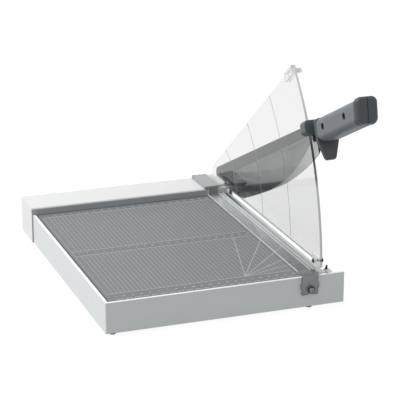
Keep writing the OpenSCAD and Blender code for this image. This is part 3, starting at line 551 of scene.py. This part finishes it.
def makeButt():
    places = [armPlace(v.co) for v in nodes["handle_butt"].data.vertices]
    low = Vector([min(p[i] for p in places) for i in range(3)])
    high = Vector([max(p[i] for p in places) for i in range(3)])
    shape = bmesh.new()
    bmesh.ops.create_cube(shape, size=1)
    sides = [e for e in shape.edges if abs(e.verts[0].co.y - e.verts[1].co.y) > 0.5]
    for vertex in shape.verts:
        side, end, up = vertex.co
        joint = -butt["jointLap"] if up > 0 else -butt["skirt"]
        reach = butt["topReach"] if up > 0 else butt["bottomReach"]
        vertex.co = onArm(high.x if side > 0 else low.x, low.y + (reach if end < 0 else joint) * mm,
                          high.z if up > 0 else low.z)
    bmesh.ops.bevel(shape, geom=sides, offset=butt["cornerRound"] * mm, segments=butt["cornerSteps"],
                    profile=0.5, material=-1, affect="EDGES")
    shape.normal_update()
    ahead = onArm(0, 1, 0) - onArm(0, 0, 0)
    endFace = max(shape.faces, key=lambda f: f.normal.dot(ahead))
    bmesh.ops.bevel(shape, geom=list(endFace.edges), offset=butt["endRound"] * mm,
                    segments=butt["endSteps"], profile=0.5, material=-1, affect="EDGES")
    middle = (low.x + high.x) / 2
    for side in (-0.5, 0.5):
        everything = [*shape.verts, *shape.edges, *shape.faces]
        cut = (middle + side * butt["grooveWide"] * mm, 0, 0)
        bmesh.ops.bisect_plane(shape, geom=everything, plane_co=cut, plane_no=(1, 0, 0))
    shape.normal_update()
    band = [f for f in shape.faces if abs(f.calc_center_median().x - middle) < 0.4 * butt["grooveWide"] * mm
            and f.normal.dot(ahead) > 0.25]
    sunk = bmesh.ops.extrude_face_region(shape, geom=band)["geom"]
    moved = [v for v in sunk if isinstance(v, bmesh.types.BMVert)]
    bmesh.ops.translate(shape, verts=moved, vec=-ahead * butt["grooveDeep"] * mm)
    bmesh.ops.delete(shape, geom=band, context="FACES")
    bmesh.ops.recalc_face_normals(shape, faces=shape.faces)
    for face in shape.faces:
        face.smooth = True
    mesh = bpy.data.meshes.new("butt_cap")
    shape.to_mesh(mesh)
    shape.free()
    mesh.set_sharp_from_angle(angle=math.radians(butt["sharpDeg"]))
    piece = asPiece(mesh, "butt_cap", "arm", [buttRubber], ["handle_butt"])
    piece.modifiers.new("flatFaces", "WEIGHTED_NORMAL").keep_sharp = True


dressed("base_frame", paint, 0.3, 2, [rimPaintedHighlight], rimHighlightFace)
dressed("side_channel", paint, 0.3)
dressed("back_rail", railPaint, 0.3, 2)
dressed("table_plate", tablePaint, 0.2)
dressed("paper_fence", fencePlastic, 0.15)
dressed("pivot_plate", zinc, 0.3)
dressed("lower_knife", knifeSteel, 0.1)
dressed("guard", guardClear, 0.12, 2, [guardLine, guardFrontPaintedReflection, guardLow, guardFoot], guardFace)
dressed("guard_front_bracket", footClear, 0.2)
dressed("stop_clip", clipClear, 0.2, 2, [clipEdge], clipFace)
dressed("guard_screws", blackScrew, 0.12)
dressed("blade_guide", guidePlastic, 0.5)
dressed("guide_nub", blackRubber, 0.4)
dressed("clamp_guide_screw", screwRing, 0.12, 2, [screwDome], screwFace)
dressed("hinge_lugs", smokedPlate, 0.25)
dressed("rubber_feet", footRubber, 0.3)
dressed("pivot_bolt", zinc, 0.25)
dressed("friction_washer", zinc, 0.1)
dressed("blade", bladeSteel, 0.08, 1, [bevelSteel, bladeEdgeHighlight], bladeFace, cutHeel)
dressed("arm_bar", barCoat, 0.3)
dressed("blade_rivets", rivetSteel, 0.1)
dressed("arm_collar", collarPlastic, 0.7, 3)
dressed("arm_buffer", blackRubber, 0.3)
dressed("finger_guard", darkPlastic, 0.7, 3)
dressed("grip_left", gripPlastic, 0.5, 3)
dressed("grip_right", gripPlastic, 0.5, 3)
makeButt()
dressed("handle_screws", blackAndRecessShade, 0.12, 2, [crossHighlight], slotFace)
dressed("clamp_strip", stripClearPaintedReflection, 0.2, 2, [stripEdgeHighlight, stripRear], stripFace)
dressed("clamp_front_bracket", smoked, 0.3, 2, [smokedEdge], bracketFace)
dressed("clamp_rear_plate", smokedPlate, 0.3)
for hidden in ("table_channels", "rail_brackets", "knife_screws", "plate_screws", "pivot_nut", "clamp_pin"):
    plain(hidden, zinc)
plain("pivot_block", castMetal)
plain("pivot_bush", bronze)
print("CAD pieces dressed")

# The table's print: a grid, three rules with their figures, and an angle fan, together with painted shade along
# the gap round the table and the joint with the knife, and a painted highlight along the knife's cutting edge

tablePrint = {"left": 9.3, "right": 227, "front": 26, "back": 296, "midLow": 152, "midHigh": 167,
              "first": 16.57, "step": 5, "mark": 10, "line": 0.5, "crossLine": 0.3, "rule": 0.7,
              "ruleLap": 0.5, "thick": 0.03,
              "fanX": 172, "fanY": 27, "fanRight": 248, "fanDegrees": (15, 30, 45, 60, 75), "fanLine": 0.65,
              "fanTick": 2.2, "fanTickShare": 0.63, "fanTickRight": 231,
              # The border entries place painted shade along the gaps at the table's edges; knifeLines place
              # painted shade and a painted highlight on the knife
              "borderX": 5.1, "borderY": 5.0, "borderRight": 250, "border": 1.1, "deep": 310,
              "knifeLines": ((253.1, 0.6, 2), (259.4, 0.9, 3)), "knifeFront": 14,
              "frontMark": (6, 9.5), "frontDash": (1, 7), "dashRow": 8.7, "backMark": 3,
              "backHalfMark": 1.8, "figure": 3.4, "figureBold": 0.08, "frontRow": 16.5, "backRow": 303}


def addBar(shape, x0, y0, x1, y1, width, ink=0):
    # One printed line from point to point, as a flat bar on the table; ink is the place in inks
    start, end = Vector((x0, y0, 0)), Vector((x1, y1, 0))
    length = (end - start).length
    turn = Matrix.Rotation(math.atan2(y1 - y0, x1 - x0), 4, "Z")
    size = Matrix.Diagonal((length * mm, width * mm, tablePrint["thick"] * mm, 1))
    middle = at(0, 0, 0) + (start + end) / 2 * mm
    middle.z = tableTop + tablePrint["thick"] * mm / 2
    made = bmesh.ops.create_cube(shape, size=1, matrix=Matrix.Translation(middle) @ turn @ size)
    for face in {f for v in made["verts"] for f in v.link_faces}:
        face.material_index = ink


def markPlaces():
    p = tablePrint
    count = int((p["right"] - p["first"]) / p["mark"]) + 1
    return [p["first"] + i * p["mark"] for i in range(count)]


def gridLines(shape):
    p = tablePrint
    columns = int((p["right"] - p["first"]) / p["step"]) + 1
    for i in range(columns):
        x = p["first"] + i * p["step"]
        addBar(shape, x, p["front"], x, p["midLow"], p["line"])
        addBar(shape, x, p["midHigh"], x, p["back"], p["line"])
    for low, high in ((p["front"], p["midLow"]), (p["midHigh"], p["back"])):
        rows = int((high - low) / p["step"])
        for i in range(1, rows):
            y = low + i * (high - low) / rows
            addBar(shape, p["left"], y, p["right"], y, p["crossLine"])


def ruleLines(shape):
    p = tablePrint
    for y in (p["front"], p["midLow"], p["midHigh"], p["back"]):
        addBar(shape, p["left"] - p["ruleLap"], y, p["right"], y, p["rule"], 1)
    addBar(shape, p["left"], p["front"], p["left"], p["back"], p["line"])
    # Painted shade: near black lines along the gaps between the rim and the table
    addBar(shape, p["borderX"], p["borderY"], p["borderX"], p["deep"], p["border"], 2)
    addBar(shape, p["borderX"], p["borderY"], p["borderRight"], p["borderY"], p["border"], 2)
    # Painted shade along the joint between table and knife, and a painted highlight along the knife's cutting edge
    for x, width, ink in p["knifeLines"]:
        addBar(shape, x, p["knifeFront"], x, p["deep"], width, ink)
    for x in markPlaces():
        start, end = [x + reach for reach in p["frontDash"]]
        half = x + p["step"]
        addBar(shape, x, p["frontMark"][0], x, p["frontMark"][1], p["line"], 1)
        addBar(shape, start, p["dashRow"], end, p["dashRow"], p["rule"], 1)
        addBar(shape, x, p["back"], x, p["back"] + p["backMark"], p["line"], 1)
        addBar(shape, half, p["back"], half, p["back"] + p["backHalfMark"], p["line"], 1)


def fanLines(shape):
    p = tablePrint
    for degrees in p["fanDegrees"]:
        a = math.radians(degrees)
        high = (p["midLow"] - p["fanY"]) / math.sin(a)
        reach = min((p["fanRight"] - p["fanX"]) / math.cos(a), high)
        x1, y1 = p["fanX"] + reach * math.cos(a), p["fanY"] + reach * math.sin(a)
        addBar(shape, p["fanX"], p["fanY"], x1, y1, p["fanLine"], 1)
        tick = p["fanTick"]
        far = p["fanTickShare"] * min((p["fanTickRight"] - p["fanX"]) / math.cos(a), high)
        mx, my = p["fanX"] + far * math.cos(a), p["fanY"] + far * math.sin(a)
        addBar(shape, mx - tick * math.sin(a), my + tick * math.cos(a),
               mx + tick * math.sin(a), my - tick * math.cos(a), p["fanLine"], 1)


def addFigure(shape, text, x, y, size):
    curve = bpy.data.curves.new("figure", "FONT")
    curve.body = text
    curve.size = size * mm
    curve.align_x = "CENTER"
    curve.align_y = "CENTER"
    curve.extrude = tablePrint["thick"] * mm / 2
    curve.offset = tablePrint["figureBold"] * mm
    writer = bpy.data.objects.new("figure", curve)
    bpy.context.scene.collection.objects.link(writer)
    bpy.context.view_layer.update()
    mesh = bpy.data.meshes.new_from_object(writer.evaluated_get(bpy.context.evaluated_depsgraph_get()))
    spot = at(x, y, 0)
    spot.z = tableTop + tablePrint["thick"] * mm / 2
    mesh.transform(Matrix.Translation(spot))
    mesh.materials.append(inks[1])
    known = len(shape.faces)
    shape.from_mesh(mesh)
    shape.faces.ensure_lookup_table()
    for face in shape.faces[known:]:
        face.material_index = 1
    bpy.data.objects.remove(writer)
    bpy.data.meshes.remove(mesh)


def makePrint():
    p = tablePrint
    shape = bmesh.new()
    gridLines(shape)
    ruleLines(shape)
    fanLines(shape)
    middle = (p["midLow"] + p["midHigh"]) / 2
    for i, x in enumerate(markPlaces()):
        for y in (p["frontRow"], middle, p["backRow"]):
            addFigure(shape, str(i + 1), x, y, p["figure"])
    mesh = bpy.data.meshes.new("table_print")
    shape.to_mesh(mesh)
    shape.free()
    asPiece(mesh, "table_print", "base", inks)


makePrint()
print("table print")
